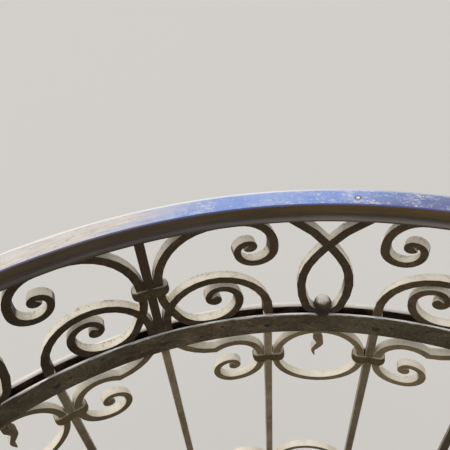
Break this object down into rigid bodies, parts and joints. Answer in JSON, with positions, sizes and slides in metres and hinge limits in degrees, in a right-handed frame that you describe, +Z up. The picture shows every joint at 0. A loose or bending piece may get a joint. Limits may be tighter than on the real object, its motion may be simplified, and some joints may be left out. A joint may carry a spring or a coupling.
{
  "type": "half-round iron balcony",
  "caption": "Half-round wrought-iron balcony with a scrollwork balustrade, plate floor, curved edge beam and braced wall brackets.",
  "frame": {"origin": "on the back face of the wall ledger, at its middle, in the plane of the wall", "axes": "+Z up, +Y into the wall, so the bow runs out along -Y, +X to the right for someone facing the wall"},
  "size_m": [1.76, 0.88, 1.948],
  "materials": {
    "handrail_iron": "dark paint worn by hands, dusty on top",
    "rail_iron": "weathered dark brown paint",
    "bar_iron": "weathered dark brown paint",
    "top_scroll_iron": "weathered dark brown paint",
    "field_scroll_iron": "weathered taupe-brown paint",
    "floor_iron": "worn dark paint",
    "frame_iron": "weathered dark brown paint"
  },
  "bodies": {
    "root": {"handrail": "handrail_iron", "handrail_underbars": "rail_iron", "middle_rail_inner_bar": "rail_iron", "middle_rail_outer_bar": "rail_iron", "bottom_rail_inner_bar": "rail_iron", "bottom_rail_outer_bar": "rail_iron", "plain_balusters": "bar_iron", "collared_balusters": "bar_iron", "baluster_feet": "bar_iron", "bay_1_top_scrolls": "top_scroll_iron", "bay_2_top_scrolls": "top_scroll_iron", "bay_3_top_scrolls": "top_scroll_iron", "bay_4_top_scrolls": "top_scroll_iron", "bay_1_loop": "top_scroll_iron", "bay_2_loop": "top_scroll_iron", "bay_3_loop": "top_scroll_iron", "bay_4_loop": "top_scroll_iron", "top_scroll_collars": "top_scroll_iron", "bay_1_middle_scrolls": "field_scroll_iron", "bay_2_middle_scrolls": "field_scroll_iron", "bay_3_middle_scrolls": "field_scroll_iron", "bay_4_middle_scrolls": "field_scroll_iron", "middle_scroll_collars": "field_scroll_iron", "middle_drops": "field_scroll_iron", "bay_1_bottom_scrolls": "field_scroll_iron", "bay_2_bottom_scrolls": "field_scroll_iron", "bay_3_bottom_scrolls": "field_scroll_iron", "bay_4_bottom_scrolls": "field_scroll_iron", "bottom_scroll_collars": "field_scroll_iron", "bottom_drops": "field_scroll_iron", "wall_plate_left": "frame_iron", "wall_plate_right": "frame_iron", "floor_plates": "floor_iron", "edge_beam": "frame_iron", "wall_ledger": "frame_iron", "bracket_left": "frame_iron", "bracket_middle": "frame_iron", "bracket_right": "frame_iron"}
  },
  "joints": []
}
